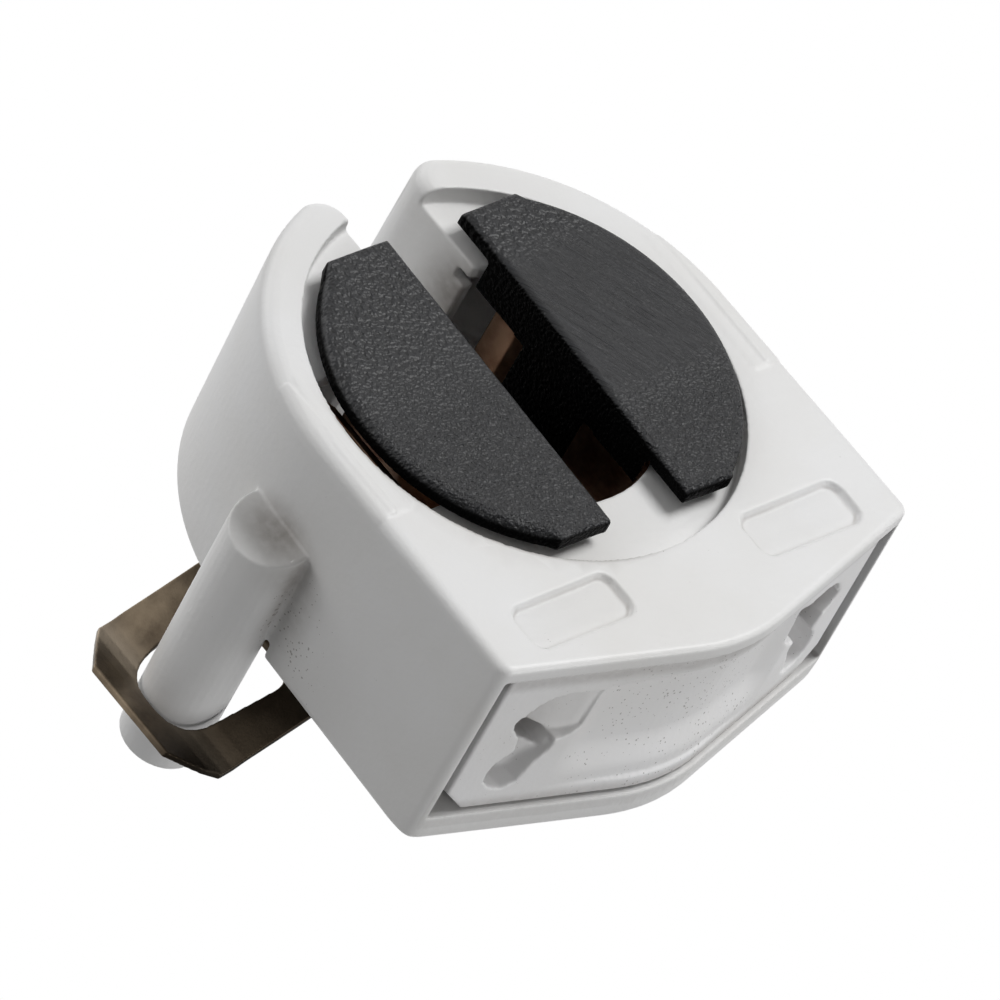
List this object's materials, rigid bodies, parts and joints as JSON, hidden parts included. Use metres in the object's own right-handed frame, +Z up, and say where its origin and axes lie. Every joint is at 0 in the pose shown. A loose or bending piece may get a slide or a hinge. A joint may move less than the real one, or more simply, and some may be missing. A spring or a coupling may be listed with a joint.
{
  "type": "fluorescent tube lamp holder",
  "caption": "Small white moulded lamp holder for a two-pin fluorescent tube: round-topped housing with a slotted black rotor, side pegs and a leaf spring.",
  "frame": {"origin": "on the lamp axis, which is the rotor's axis, in the plane of the housing's face", "axes": "+X to the right of the face, +Y from the face to the back along the lamp axis, +Z up to the lamp pin slot"},
  "size_m": [0.0228, 0.0142, 0.0197],
  "materials": {
    "white_moulding": "fine matt white thermoplastic",
    "white_insert": "fine matt white thermoplastic",
    "black_moulding": "spark-eroded matt black thermoplastic",
    "contact_bronze_left": "bare copper alloy strip",
    "contact_bronze_right": "bare copper alloy strip",
    "spring_steel": "dull spring strip"
  },
  "bodies": {
    "housing": {"housing_shell": "white_moulding", "wiring_insert": "white_insert", "contact_left": "contact_bronze_left", "contact_right": "contact_bronze_right", "leaf_spring": "spring_steel"},
    "rotor": {"rotor": "black_moulding"}
  },
  "joints": [
    {"name": "rotor_turn", "type": "hinge", "parent": "housing", "child": "rotor", "pos_m": [0, 0, 0], "axis": [0, 1, 0], "range_deg": [-90, 90]}
  ]
}
